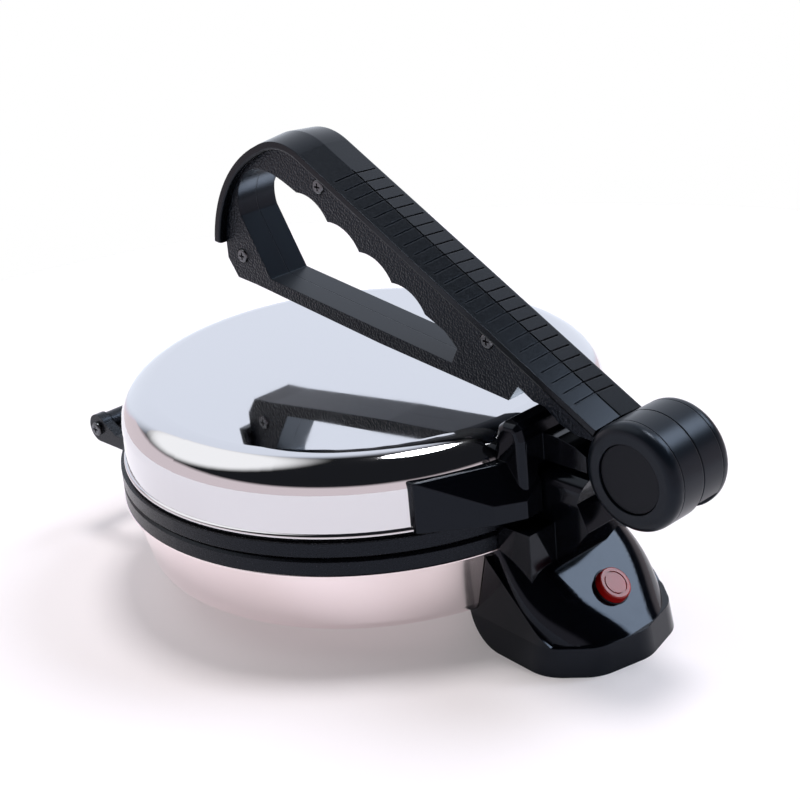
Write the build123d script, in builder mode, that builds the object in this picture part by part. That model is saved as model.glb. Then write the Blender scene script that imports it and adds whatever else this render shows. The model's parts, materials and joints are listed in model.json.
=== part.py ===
from build123d import *
import os
from math import cos, radians, sin, tan

# Electric roti maker. Millimetres, +Z up, floor at z = 0, front at -Y, hinge at +Y.
# "z" is a height above the floor. "back" is a distance behind a datum line, from which the hub, lever,
# bracket and leg are set out, and which keeps its distance from the lid's rear edge.

# ---- driving dimensions: plates, rings and shells ----
PARTING_Z = 58.2  # plane between the two halves of the clam
LID_R = 120.0  # outside radius of the lid shell
LID_TOP_Z = 102.7  # top of the lid shell
LID_ROLL_R = 17.0  # rolled shoulder of the lid
REAR_DATUM = 120.0  # the datum line lies this far in front of the lid's rear edge
BOWL_OUT = 1.6  # the bowl's rim stands out from the lid by this
BOWL_TAPER = 8.6  # how far the bowl's wall leans in down to its floor
BOWL_BOTTOM_Z = 15.2  # underside of the bowl
BOWL_CORNER_R = 7.0  # pressed corner of the bowl
SHEET_T = 1.0  # steel sheet of both shells
BEAD_R = 1.7  # rolled edge of the lid
BEAD_OUT = 1.2  # how far the bead stands out from the lid
FLANGE_OUT = 0.5  # steel flange of the bowl, which shows below the ring
FLANGE_LAND = 9.6  # how far the flange reaches inside the bowl's rim, under the ring
FLANGE_EDGE_R = 0.4
RING_OUT = 3.0  # both plastic rings stand out from the lid by this
RING_H = 7.8  # height of each plastic ring
RING_GAP = 0.3  # between the closed rings
RING_EDGE = 1.2  # chamfer that makes the dark groove between the rings
RING_RIM_W = 10.7  # rim of the rings round a plate
LEDGE_W = 9.3  # ledge of the rings behind a plate
PLATE_T = 3.7
PLATE_EDGE_R = 1.0
PLATE_GAP = 1.2  # between the closed plates
PLATE_SCREW_IN = 4.5  # the screws that hold a plate to its ring stand inside the plate's edge by this
PLATE_SCREWS = 4
PLATE_SCREW_DEPTH = 2.0  # how far they reach into the plate
SEAT_GAP = 0.3  # beside pieces that drop in
RUN_GAP = 0.05  # radial clearance of what turns on the pin

PLATE_SCREW_HEAD_R = 2.8
HEATER_IN = 30.0  # middle of the heating element inside the shield's wall
HEATER_W = 7.0
HEATER_H = 6.0
HEATER_CORNER_R = 2.0
HEATER_SWEEP = 320  # degrees of the ring that the element fills
SHIELD_IN = 5.0  # the shield's wall stands inside the bore of the rings by this
SHIELD_DEPTH = 11.0
SHIELD_CORNER_R = 4.0
SHIELD_T = 0.8
THERMOSTAT_X = 25.0
THERMOSTAT_R = 8.0
THERMOSTAT_H = 9.0
TERMINAL_BASE_R = 5.5
TERMINALS = (20.8, 4.0)  # length and width of the terminals

# ---- driving dimensions: hub and lever ----
HUB_BACK = 184.4  # main axis
HUB_Z = 97.5  # main axis above the floor
HUB_R = 24.6
HUB_HALF = 19.5  # half length of the hub along X
HUB_ROUND = 4.6  # rounded rim of the hub
HUB_SHELL_T = 4.2
HUB_SHELL_FROM = {"right": -78.0, "left": -30.0}  # the shell starts here, from +Y towards +Z
HUB_SHELL_TO = 160.0
HUB_JOIN_TO = 150.0  # the lever's body joins the shell between these two angles
GROOVE_W = 0.35  # fine grooves round the hub
GROOVE_DEPTH = 0.35
CHEEK_IN = 13.2  # inner face of the hub cheeks
PLUG_R = 16.0
PLUG_T = 1.5
PLUG_SINK = 1.0  # how far the plug lies below the hub face
PIN_R = 4.0
PIN_END_GAP = 0.3
PIN_CHAMFER = 0.5
EAR_X = -4.8  # middle of the leg's ear, which stands in the left half of the hub
EAR_HALF = 3.6  # half width of the ear
EAR_R = 12.0
ARM_GAP = 0.3  # beside the lid arms
ARM_T = 4.2
EYE_R = 15.0
GRIP_HALF = 12.0  # half width of the lever
GRIP_SLOPE = radians(28.8)  # top bar against the floor
GRIP_TOP = (3.5, 197.17)  # a point (back, z) on the seat of the grip cap
CAP_HALF = 16.0
CAP_T = 4.5
CAP_RIDGE = 1.6  # roof of the grooved cap
CAP_EDGE_R = 1.6
CAP_GROOVES = 24
CAP_GROOVE_PITCH = 7.0
CAP_GROOVE_W = 0.9
CAP_GROOVE_DEPTH = 0.8
CAP_GROOVE_HALF = 13.0
CAP_GROOVE_START = 8.0  # how far back the first groove lies
NOSE = ((-79.5, 154.5), (-69.0, 182.0), (-40.0, 206.3))  # (back, z) along the seat of the cap
CROWN = ((-40.0, 206.3), (-27.0, 209.7))
CROWN_END_BACK = -13.0
LEVER_UNDERSIDE = (  # (back, z) from the hub round the notch and along the lower bar to the nose
    (150.0, 106.5),
    (141.0, 109.5),
    (133.0, 115.5),
    (126.0, 116.5),
    (117.4, 121.4),
    (111.3, 113.3),
    (30.0, 122.6),
    (-58.8, 135.2),
    (-73.0, 136.6),
    (-79.5, 146.0),
)
SCALLOPS = 4
SCALLOP_START_BACK = -20.0
SCALLOP_PITCH = 20.5  # measured along Y
SCALLOP_DEPTH = 3.6
FINGER_Z = 178.3  # finger side of the top bar, carried to the datum line
FINGER_FALL = 0.554  # how fast it falls towards the hub
WINDOW_FRONT = ((-34.5, 195.4), (-46.0, 197.2), (-58.0, 193.0), (-64.5, 184.0), (-65.0, 170.5))
WINDOW_FLOOR = ((-47.0, 140.2), (77.0, 123.4))
WINDOW_REAR = (81.5, 131.5)
WINDOW_END = (74.0, 138.4)
POCKET_FROM_BACK = 10.0  # hollow of the top bar
POCKET_TO_BACK = 88.0
POCKET_TOP_WALL = 4.0
POCKET_FINGER_WALL = 8.0
GRIP_WALL = 3.0
SEAT_END_BACK = 163.0  # where the cap's seat runs into the hub
CAP_END_BACK = 162.4
HUB_OVERLAP = 2.1  # how far the lever's body runs into the hub shell
CBORE_R = 3.9
CBORE_DEPTH = 1.4
LEVER_SCREW_REACH = 9.0  # past the parting plane
PLUG_FIT = 0.2
PLUG_CHAMFER = 0.4
SPRING_R = 12.0
SPRING_WIRE_R = 0.45
SPRING_TURNS = 2.5
SPRING_PITCH = 1.0
SPRING_LEG = 6.0
LEVER_SCREWS = ((-67.4, 148.9), (-3.5, 194.6), (100.4, 139.3))  # (back, z)
SCREW_HEAD_R = 3.7
SCREW_HEAD_T = 2.2
SCREW_SHANK_R = 1.6
SCREW_HOLE_R = 1.7
CROSS_L = 3.8  # cross recess of the screws that show
CROSS_W = 0.9
CROSS_DEPTH = 1.2

# ---- driving dimensions: lid bracket ----
SADDLE_PLAN = ((67.0, 103.5), (41.0, 126.0), (27.0, 133.0))  # (x, back) of the right half
SADDLE_INNER_BACK = 90.0
SADDLE_BOTTOM_Z = 67.2
SADDLE_TOP_Z = 91.5
SADDLE_EDGE_Z = 76.5  # outer edge of the sloping roof
SADDLE_ROOF_IN = (36.7, 117.4)  # (x, back) where the roof meets the lid
SADDLE_ROUND = 1.2
NOTCH_HALF = 17.2
NOTCH_BACK = 126.4
NOTCH_TOP_Z = 89.8
HUMP_HALF = 27.0
HUMP_OUTLINE = (
    (112.0, 74.0),
    (114.5, 102.0),
    (116.5, 107.5),
    (120.0, 110.1),
    (127.0, 110.5),
    (130.0, 108.5),
    (131.5, 103.0),
    (131.5, 74.0),
)
HUMP_ROUND = 4.0
KNUCKLE_HALF = 13.0
KNUCKLE_OUTLINE = (
    (125.0, 90.2),
    (125.0, 103.5),
    (140.0, 103.0),
    (150.0, 101.0),
    (156.0, 98.0),
    (156.0, 90.2),
)
SLOT_BACK = 148.0  # the knuckle is slotted for the ear behind this
ARM_DROP = 7.0  # underside of the lid arms below the axis
ARM_RISE = 3.5  # their top above the axis
BRACKET_SCREW_ANGLE = 10.0  # either side of +Y
BRACKET_SCREW_Z = 79.0
BRACKET_SCREW_REACH = 6.0
BRACKET_SCREW_SINK = 0.1  # flat heads clear the curved wall by this

# ---- driving dimensions: rear leg, front grip and feet ----
LEG_PLAN = ((38.0, 98.0), (42.8, 152.0), (27.0, 170.8), (0.0, 177.5))  # (x, back) on the floor, right half
LEG_CORNER_R = 20.0
PLINTH_Z = 13.5
PLINTH_FLARE = 2.0  # how far the foot of the plinth stands out
TOE_BACK = 122.0  # the bottom edge rises in an arc in front of this
TOE_R = 22.0
HOOD_BACK = 156.0  # a point on the sloping hood face
HOOD_Z = 28.5
HOOD_SLOPE = 0.875
HOOD_PLAN = ((98.0, 36.3), (138.0, 39.0), (150.0, 37.0), (160.0, 31.7), (180.0, 23.0))  # (back, half width)
HOOD_DEPTH = 90.0
HOOD_ROLL_R = 18.0  # rolled shoulders of the hood
WALL_BACK = 138.5  # rear wall above the hood
WALL_HALF = 33.0
BODY_TOP_Z = 62.5
HEAD_HALF = 16.0
HEAD_ARCH_R = 9.0  # rounding of the head's top
HEAD_OUTLINE = (  # (back, z) of the leg's head, which leans back under the hub
    (128.0, 40.0),
    (128.0, 76.0),
    (132.0, 85.0),
    (139.0, 88.0),
    (157.0, 88.0),
    (152.0, 75.5),
    (158.0, 63.0),
    (149.0, 52.0),
    (140.0, 40.0),
)
EAR_WEB = (  # (behind the axis, above it) from the head to the ear
    (-36.0, -10.0),
    (-8.5, 8.5),
    (8.5, -8.5),
    (-30.0, -26.0),
    (-36.0, -26.0),
)
TONGUE_HALF = 26.0
TONGUE_OUTLINE = ((86.0, 11.0), (86.0, 20.0), (120.0, 20.0), (120.0, 1.0), (104.0, 8.0))
RING_ROOM = 0.8  # between the leg and the rings
LAMP_R = 8.9  # bezel
LAMP_BODY_R = 7.0
LAMP_LENS_R = 8.4
LAMP_TAPER = 8.0  # degrees
LAMP_EDGE_R = 0.7
LAMP_RING_R = 5.8  # ring pressed into the lamp's face
LAMP_RING_W = 0.6
LAMP_STAND = 4.2
LAMP_DEPTH = 14.0
BEZEL_T = 0.6
BEZEL_CHAMFER = 0.3
COVER_INSET = 4.0  # the cover stands inside the foot's edge by this
COVER_T = 2.0
COVER_SINK = 2.4
COVER_SCREW_X = 24.0
COVER_SCREW_BACK = 138.0
COVER_BOSS_R = 4.5
COVER_SCREW_REACH = 10.0
ROOM_INSET = 12.0  # the hollow in the leg stands inside the foot's edge by this
ROOM_FRONT_BACK = 124.0  # front wall of the hollow in the leg
ROOM_TOP_Z = 26.0
ROOM_SLOPE_BACK = 150.0
LEG_SCREW_X = 18.0
LEG_SCREW_BACK = 96.0
SHELL_SCREW_REACH = 4.0  # below the bowl
GLAND_Z = 18.0
GLAND_BACK = 134.0
GLAND_SEAT_X = 37.2  # spot face on the leg's left side
GLAND_R = 7.0
GLAND_T = 2.5
GLAND_EDGE_R = 1.0
GLAND_NECK_R = 4.4
GLAND_NECK = 8.0
GLAND_BORE_R = 3.0
GLAND_FIT = 0.1
PIN_FIT = 0.02
BAR_OUT = 15.0  # front grip bar's axis in front of the rings
ARM_Z = 55.9
ARM_ROOT_IN = 3.0  # the arms begin this far inside the bore of the rings
ARM_X = 62.5  # inner face of the front arms
ARM_W = 5.5
ARM_TOP_DROP = 0.6  # top of the arms below the bar's axis, beside the ring
ARM_OVERLAP = 2.0  # how far the arms run into the ring
BOSS_R = 7.6
BAR_R = 6.5
BAR_CHAMFER = 0.8
BAR_SCREW_REACH = 10.0
FOOT_R = 12.0
FOOT_TAPER = 7.0  # degrees
FOOT_X = 52.0
FOOT_IN = 41.0  # the front feet stand this far behind the front edge of the bowl's floor

# ---- worked out ----
BOWL_TOP_R = LID_R + BOWL_OUT
BOWL_BOTTOM_R = BOWL_TOP_R - BOWL_TAPER
RING_R = LID_R + RING_OUT
FLANGE_R = RING_R + FLANGE_OUT
RECESS_R = RING_R - RING_RIM_W
RING_BORE_R = RECESS_R - LEDGE_W
PLATE_R = RECESS_R - SEAT_GAP
PLATE_SCREW_R = PLATE_R - PLATE_SCREW_IN
SHIELD_R = RING_BORE_R - SHIELD_IN
HEATER_R = SHIELD_R - HEATER_IN
ARM_REACH = RING_R + BAR_OUT
ARM_ROOT = RING_BORE_R - ARM_ROOT_IN
FOOT_BACK = FOOT_IN - BOWL_BOTTOM_R
DATUM_BACK = LID_R - REAR_DATUM  # the datum line behind the plate centre
PLATE_Y = ((ARM_REACH + BOSS_R) - (DATUM_BACK + HUB_BACK + HUB_R)) / 2  # centres the whole part on y = 0
DATUM_Y = PLATE_Y + DATUM_BACK
HUB_Y = DATUM_Y + HUB_BACK
BASE_RING_TOP = PARTING_Z - RING_GAP / 2
BASE_RING_BOTTOM = BASE_RING_TOP - RING_H
LID_RING_BOTTOM = PARTING_Z + RING_GAP / 2
LID_RING_TOP = LID_RING_BOTTOM + RING_H
LOWER_FACE_Z = PARTING_Z - PLATE_GAP / 2
UPPER_FACE_Z = PARTING_Z + PLATE_GAP / 2
LOWER_LEDGE_Z = LOWER_FACE_Z - PLATE_T
UPPER_LEDGE_Z = UPPER_FACE_Z + PLATE_T
ARM_INNER = EAR_HALF + ARM_GAP
ARM_OUTER = ARM_INNER + ARM_T

os.makedirs("parts", exist_ok=True)

section = Plane(origin=(0, PLATE_Y, 0), x_dir=(1, 0, 0), z_dir=(0, -1, 0))
plate_side = Plane(origin=(0, PLATE_Y, 0), x_dir=(0, 1, 0), z_dir=(1, 0, 0))
plate_axis = Axis((0, PLATE_Y, 0), (0, 0, 1))
rear_section = Plane(origin=(0, DATUM_Y, 0), x_dir=(1, 0, 0), z_dir=(0, -1, 0))
side = Plane(origin=(0, DATUM_Y, 0), x_dir=(0, 1, 0), z_dir=(1, 0, 0))  # (back, z), facing +X
hub_side = Plane(origin=(0, HUB_Y, HUB_Z), x_dir=(0, 1, 0), z_dir=(1, 0, 0))
ear_side = hub_side.offset(EAR_X)
rear_plan = Plane(origin=(0, DATUM_Y, 0))  # (x, back)
gland_plane = Plane(
    origin=(-GLAND_SEAT_X, DATUM_Y + GLAND_BACK, GLAND_Z), x_dir=(0, 1, 0), z_dir=(-1, 0, 0)
)


def at_z(height):
    """A level plane round the plates' axis at a height above the floor."""
    return Plane(origin=(0, PLATE_Y, height))


foot_spots = [(FOOT_X, FOOT_BACK), (-FOOT_X, FOOT_BACK)]
leg_screw_back = DATUM_BACK + LEG_SCREW_BACK
shell_spots = foot_spots + [(LEG_SCREW_X, leg_screw_back), (-LEG_SCREW_X, leg_screw_back)]
bracket_seat_r = LID_R - SHEET_T - BRACKET_SCREW_SINK
bracket_spots = [
    Plane(
        origin=(bracket_seat_r * sin(turn), PLATE_Y + bracket_seat_r * cos(turn), BRACKET_SCREW_Z),
        x_dir=(0, 0, 1),
        z_dir=(sin(turn), cos(turn), 0),
    )
    for turn in (radians(BRACKET_SCREW_ANGLE), -radians(BRACKET_SCREW_ANGLE))
]

# ---- shells ----
with BuildPart() as lid_shell:
    with BuildSketch(section):
        with BuildLine():
            corners = ((0, LID_TOP_Z), (LID_R, LID_TOP_Z), (LID_R, LID_RING_TOP))
            skin = FilletPolyline(*corners, radius=LID_ROLL_R)
            offset(skin, amount=SHEET_T, side=Side.RIGHT)
        make_face()
        with Locations((LID_R - BEAD_R + BEAD_OUT, LID_RING_TOP + BEAD_R)):
            Circle(BEAD_R)
    revolve(axis=plate_axis)
    with BuildSketch(*bracket_spots):
        Circle(SCREW_HOLE_R)
    extrude(amount=2 * SHEET_T, mode=Mode.SUBTRACT)
lid_shell.part.label = "lid_shell"

with BuildPart() as base_shell:
    with BuildSketch(section):
        with BuildLine():
            skin = FilletPolyline(
                (0, BOWL_BOTTOM_Z),
                (BOWL_BOTTOM_R, BOWL_BOTTOM_Z),
                (BOWL_TOP_R, BASE_RING_BOTTOM),
                radius=BOWL_CORNER_R,
            )
            offset(skin, amount=SHEET_T, side=Side.LEFT)
        make_face()
        flange_in = BOWL_TOP_R - FLANGE_LAND
        with Locations((flange_in, BASE_RING_BOTTOM)):
            Rectangle(FLANGE_R - flange_in, SHEET_T, align=(Align.MIN, Align.MAX))
    revolve(axis=plate_axis)
    split(bisect_by=at_z(BASE_RING_BOTTOM), keep=Keep.BOTTOM)
    fillet(base_shell.edges().filter_by(GeomType.CIRCLE).group_by(SortBy.RADIUS)[-1], radius=FLANGE_EDGE_R)
    with BuildSketch(at_z(BOWL_BOTTOM_Z)):
        with Locations(*shell_spots):
            Circle(SCREW_HOLE_R)
    extrude(amount=SHEET_T, mode=Mode.SUBTRACT)
base_shell.part.label = "base_shell"

# ---- rings, plates and heaters ----
ARM_TOP_Z = ARM_Z - ARM_TOP_DROP
with BuildPart() as ring_band:
    with BuildSketch(section):
        with BuildLine():
            Polyline(
                (RING_BORE_R, BASE_RING_BOTTOM),
                (RING_R, BASE_RING_BOTTOM),
                (RING_R, BASE_RING_TOP - RING_EDGE),
                (RING_R - RING_EDGE, BASE_RING_TOP),
                (RECESS_R, BASE_RING_TOP),
                (RECESS_R, LOWER_LEDGE_Z),
                (RING_BORE_R, LOWER_LEDGE_Z),
                close=True,
            )
        make_face()
    revolve(axis=plate_axis)
    with BuildSketch(at_z(BASE_RING_BOTTOM)):
        with PolarLocations(PLATE_SCREW_R, PLATE_SCREWS, start_angle=45):
            Circle(SCREW_HOLE_R)
    extrude(amount=RING_H, mode=Mode.SUBTRACT)

with BuildPart() as front_arms:
    with BuildSketch(plate_side.offset(ARM_X)):
        with Locations((-ARM_REACH, ARM_Z)):
            Circle(BOSS_R)
        with BuildLine():
            Polyline(
                (-ARM_REACH, ARM_Z - BOSS_R),
                (-ARM_ROOT, ARM_Z - BOSS_R),
                (-ARM_ROOT, ARM_TOP_Z),
                (-ARM_REACH + 2 * BOSS_R, ARM_TOP_Z),
                (-ARM_REACH, ARM_Z + BOSS_R),
                close=True,
            )
        make_face()
    extrude(amount=ARM_W)
    mirror(about=Plane.YZ)
    with BuildSketch(at_z(0)):
        Circle(RING_R - ARM_OVERLAP)
    extrude(amount=PARTING_Z, mode=Mode.SUBTRACT)
    with BuildSketch(at_z(0)):
        Circle(FLANGE_R + SEAT_GAP)
    extrude(amount=BASE_RING_BOTTOM, mode=Mode.SUBTRACT)
    with Locations(Location((0, PLATE_Y - ARM_REACH, ARM_Z), (0, 90, 0))):
        Cylinder(SCREW_HOLE_R, 3 * ARM_X, mode=Mode.SUBTRACT)

with BuildPart() as base_ring:
    add(ring_band.part)
    add(front_arms.part)
base_ring.part.label = "base_ring"

with BuildPart() as lid_ring:
    with BuildSketch(section):
        with BuildLine():
            Polyline(
                (RING_BORE_R, LID_RING_TOP),
                (RING_R, LID_RING_TOP),
                (RING_R, LID_RING_BOTTOM + RING_EDGE),
                (RING_R - RING_EDGE, LID_RING_BOTTOM),
                (RECESS_R, LID_RING_BOTTOM),
                (RECESS_R, UPPER_LEDGE_Z),
                (RING_BORE_R, UPPER_LEDGE_Z),
                close=True,
            )
        make_face()
    revolve(axis=plate_axis)
    with BuildSketch(at_z(LID_RING_BOTTOM)):
        with PolarLocations(PLATE_SCREW_R, PLATE_SCREWS, start_angle=45):
            Circle(SCREW_HOLE_R)
    extrude(amount=RING_H, mode=Mode.SUBTRACT)
lid_ring.part.label = "lid_ring"


def plate(face_z, up):
    """A cooking plate whose face is at face_z and whose back is up = 1 above it or -1 below it."""
    with BuildPart() as disc:
        with BuildSketch(at_z(face_z)):
            Circle(PLATE_R)
        extrude(amount=up * PLATE_T)
        fillet(disc.edges().sort_by(Axis.Z)[0 if up > 0 else -1], radius=PLATE_EDGE_R)
        with BuildSketch(at_z(face_z + up * PLATE_T)):
            with PolarLocations(PLATE_SCREW_R, PLATE_SCREWS, start_angle=45):
                Circle(SCREW_HOLE_R)
        extrude(amount=-up * PLATE_SCREW_DEPTH, mode=Mode.SUBTRACT)
    return disc.part


def heater(back_z, up):
    """The tubular element on the back of a plate, flat where it is clamped."""
    with BuildPart() as element:
        with BuildSketch(section):
            with Locations((HEATER_R, back_z + up * HEATER_H / 2)):
                RectangleRounded(HEATER_W, HEATER_H, HEATER_CORNER_R)
        revolve(axis=plate_axis, revolution_arc=HEATER_SWEEP)
    return element.part


def shield(back_z, up):
    """The pressed steel pan that shuts in the back of a plate."""
    with BuildPart() as pan:
        with BuildSketch(section):
            with BuildLine():
                floor_z = back_z + up * SHIELD_DEPTH
                corners = ((0, floor_z), (SHIELD_R, floor_z), (SHIELD_R, back_z))
                skin = FilletPolyline(*corners, radius=SHIELD_CORNER_R)
                offset(skin, amount=SHIELD_T, side=Side.RIGHT if up > 0 else Side.LEFT)
            make_face()
        revolve(axis=plate_axis)
    return pan.part


def plate_screws(ledge_z, seat_z, up):
    """Screws through a ring's ledge at ledge_z into the plate, with their heads on seat_z."""
    with BuildPart() as screws:
        with BuildSketch(at_z(seat_z)):
            with PolarLocations(PLATE_SCREW_R, PLATE_SCREWS, start_angle=45):
                Circle(PLATE_SCREW_HEAD_R)
        extrude(amount=up * SCREW_HEAD_T)
        with BuildSketch(at_z(seat_z)):
            with PolarLocations(PLATE_SCREW_R, PLATE_SCREWS, start_angle=45):
                Circle(SCREW_SHANK_R)
        extrude(amount=ledge_z - seat_z - up * (PLATE_SCREW_DEPTH - SEAT_GAP))
    return screws.part


lower_plate = plate(LOWER_FACE_Z, -1)
lower_plate.label = "lower_plate"
upper_plate = plate(UPPER_FACE_Z, 1)
upper_plate.label = "upper_plate"
lower_heater = heater(LOWER_LEDGE_Z, -1)
lower_heater.label = "lower_heater"
upper_heater = heater(UPPER_LEDGE_Z, 1)
upper_heater.label = "upper_heater"
lower_shield = shield(LOWER_LEDGE_Z, -1)
lower_shield.label = "lower_shield"
upper_shield = shield(UPPER_LEDGE_Z, 1)
upper_shield.label = "upper_shield"
lower_plate_screws = plate_screws(LOWER_LEDGE_Z, BASE_RING_BOTTOM, -1)
lower_plate_screws.label = "lower_plate_screws"
upper_plate_screws = plate_screws(UPPER_LEDGE_Z, LID_RING_TOP, 1)
upper_plate_screws.label = "upper_plate_screws"

with BuildPart() as thermostat:
    with BuildSketch(at_z(LOWER_LEDGE_Z - SHIELD_DEPTH)):
        with Locations((THERMOSTAT_X, 0)):
            Circle(THERMOSTAT_R)
    extrude(amount=-THERMOSTAT_H / 2)
    with BuildSketch(at_z(LOWER_LEDGE_Z - SHIELD_DEPTH - THERMOSTAT_H / 2)):
        with Locations((THERMOSTAT_X, 0)):
            Circle(TERMINAL_BASE_R)
            Rectangle(*TERMINALS)
    extrude(amount=-THERMOSTAT_H / 2)
thermostat.part.label = "thermostat"

# ---- rear leg ----
def leg_outline(inset):
    """The leg's plan on the floor set in by an inset, as (x, back)."""
    left_half = [(-x, back) for x, back in reversed(LEG_PLAN[:-1])]
    with BuildSketch(Plane.XY) as outline:
        with BuildLine():
            FilletPolyline(*LEG_PLAN, *left_half, radius=LEG_CORNER_R)
            Line(left_half[-1], LEG_PLAN[0])
        make_face()
        offset(amount=-inset)
    return Pos(0, DATUM_Y, 0) * outline.sketch


def hood_z(back):
    """Height of the hood's sloping face."""
    return HOOD_Z - HOOD_SLOPE * (back - HOOD_BACK)


def prism(half_width, *corners):
    """A solid between x = -half_width and +half_width with corners given as (back, z)."""
    with BuildPart() as solid:
        with BuildSketch(side):
            with BuildLine():
                Polyline(*corners, close=True)
            make_face()
        extrude(amount=half_width, both=True)
    return solid.part


FAR = 400.0  # beyond everything
fender_back = HOOD_BACK + (HOOD_Z - HOOD_ROLL_R - PLINTH_Z) / HOOD_SLOPE  # where it meets the plinth

with BuildPart() as skirt:
    loft([leg_outline(0), Pos(0, 0, PLINTH_Z) * leg_outline(PLINTH_FLARE)], ruled=True)
    extrude(Pos(0, 0, PLINTH_Z) * leg_outline(PLINTH_FLARE), amount=BODY_TOP_Z - PLINTH_Z)
    fender_top = hood_z(0) - HOOD_ROLL_R
    above_fender = ((0, FAR), (0, fender_top), (fender_back, PLINTH_Z), (FAR, PLINTH_Z), (FAR, FAR))
    add(prism(FAR, *above_fender), mode=Mode.SUBTRACT)
    with BuildSketch(side):
        with BuildLine():
            CenterArc((TOE_BACK, TOE_R), TOE_R, start_angle=180, arc_size=90)
            Polyline((TOE_BACK, 0), (0, 0), (0, TOE_R), (TOE_BACK - TOE_R, TOE_R))
        make_face()
    extrude(amount=FAR, both=True, mode=Mode.SUBTRACT)

with BuildPart() as hood:
    for back, half_width in HOOD_PLAN:
        with BuildSketch(rear_section.offset(-back)) as hood_end:
            with Locations((0, hood_z(back))):
                Rectangle(2 * half_width, HOOD_DEPTH, align=(Align.CENTER, Align.MAX))
            fillet(hood_end.vertices().group_by(Axis.Z)[-1], radius=HOOD_ROLL_R)
    loft()
    with BuildSketch(rear_section.offset(-WALL_BACK)):
        with Locations((0, BODY_TOP_Z)):
            Rectangle(2 * WALL_HALF, BODY_TOP_Z, align=(Align.CENTER, Align.MAX))
    extrude(amount=WALL_BACK - LEG_PLAN[0][1])
    extrude(leg_outline(PLINTH_FLARE), amount=BODY_TOP_Z, mode=Mode.INTERSECT)
    with BuildSketch(side):
        with BuildLine():
            Polyline((0, TOE_R), (TOE_BACK, TOE_R), (TOE_BACK, 0), (0, 0), close=True)
        make_face()
    extrude(amount=FAR, both=True, mode=Mode.SUBTRACT)

with BuildPart() as head:
    add(prism(HEAD_HALF, *HEAD_OUTLINE))
    fillet(head.edges().filter_by(Axis.Y).group_by(Axis.Z)[-1], radius=HEAD_ARCH_R)

with BuildPart() as clam_room:
    with BuildSketch(section):
        with BuildLine():
            rim_r = BOWL_TOP_R + SEAT_GAP
            room_r = RING_R + RING_ROOM
            rim_z = BASE_RING_BOTTOM - SHEET_T - SEAT_GAP
            FilletPolyline(
                (0, BOWL_BOTTOM_Z - SEAT_GAP),
                (BOWL_BOTTOM_R + SEAT_GAP, BOWL_BOTTOM_Z - SEAT_GAP),
                (rim_r, rim_z),
                radius=BOWL_CORNER_R,
            )
            Polyline((rim_r, rim_z), (room_r, rim_z), (room_r, FAR), (0, FAR), (0, BOWL_BOTTOM_Z - SEAT_GAP))
        make_face()
    revolve(axis=plate_axis)

hood_face = Plane(origin=(0, DATUM_Y + HOOD_BACK, HOOD_Z), x_dir=(1, 0, 0), z_dir=(0, HOOD_SLOPE, 1))
cover_plan = leg_outline(COVER_INSET)

with BuildPart() as leg_room:
    extrude(leg_outline(ROOM_INSET), amount=BODY_TOP_Z)
    add(
        prism(
            FAR,
            (0, FAR),
            (ROOM_FRONT_BACK, FAR),
            (ROOM_FRONT_BACK, ROOM_TOP_Z),
            (ROOM_SLOPE_BACK, ROOM_TOP_Z),
            (FAR, ROOM_TOP_Z - HOOD_SLOPE * (FAR - ROOM_SLOPE_BACK)),
            (FAR, FAR),
        ),
        mode=Mode.SUBTRACT,
    )
    add(prism(FAR, (0, -FAR), (ROOM_FRONT_BACK, -FAR), (ROOM_FRONT_BACK, FAR), (0, FAR)), mode=Mode.SUBTRACT)
    with BuildSketch(rear_plan):
        with Locations((COVER_SCREW_X, COVER_SCREW_BACK), (-COVER_SCREW_X, COVER_SCREW_BACK)):
            Circle(COVER_BOSS_R)
    extrude(amount=ROOM_TOP_Z, mode=Mode.SUBTRACT)

with BuildPart() as cover_room:
    extrude(cover_plan, amount=COVER_SINK + COVER_T)
    add(prism(FAR, (0, -1), (ROOM_FRONT_BACK, -1), (ROOM_FRONT_BACK, FAR), (0, FAR)), mode=Mode.SUBTRACT)

with BuildPart() as rear_leg:
    add(skirt.part)
    add(hood.part)
    add(head.part)
    add(prism(TONGUE_HALF, *TONGUE_OUTLINE))
    add(clam_room.part, mode=Mode.SUBTRACT)
    with BuildSketch(ear_side):
        Circle(EAR_R)
        with BuildLine():
            Polyline(*EAR_WEB, close=True)
        make_face()
    extrude(amount=EAR_HALF, both=True)
    with BuildSketch(ear_side):
        Circle(PIN_R + PIN_FIT)
    extrude(amount=EAR_HALF, both=True, mode=Mode.SUBTRACT)
    add(leg_room.part, mode=Mode.SUBTRACT)
    add(cover_room.part, mode=Mode.SUBTRACT)
    with BuildSketch(hood_face):
        Circle(LAMP_BODY_R)
    extrude(amount=-LAMP_DEPTH, mode=Mode.SUBTRACT)
    with BuildSketch(rear_plan.offset(COVER_SINK + COVER_T)):
        with Locations((COVER_SCREW_X, COVER_SCREW_BACK), (-COVER_SCREW_X, COVER_SCREW_BACK)):
            Circle(SCREW_HOLE_R)
    extrude(amount=COVER_SCREW_REACH, mode=Mode.SUBTRACT)
    with BuildSketch(rear_plan.offset(TONGUE_OUTLINE[0][1])):
        with Locations((LEG_SCREW_X, LEG_SCREW_BACK), (-LEG_SCREW_X, LEG_SCREW_BACK)):
            Circle(SCREW_HOLE_R)
    extrude(amount=BOWL_BOTTOM_Z, mode=Mode.SUBTRACT)
    with BuildSketch(gland_plane):
        Circle(GLAND_R + SEAT_GAP)
    extrude(amount=GLAND_T, mode=Mode.SUBTRACT)
    with BuildSketch(gland_plane):
        Circle(GLAND_NECK_R + GLAND_FIT)
    extrude(amount=-GLAND_NECK, mode=Mode.SUBTRACT)
rear_leg.part.label = "rear_leg"


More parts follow.
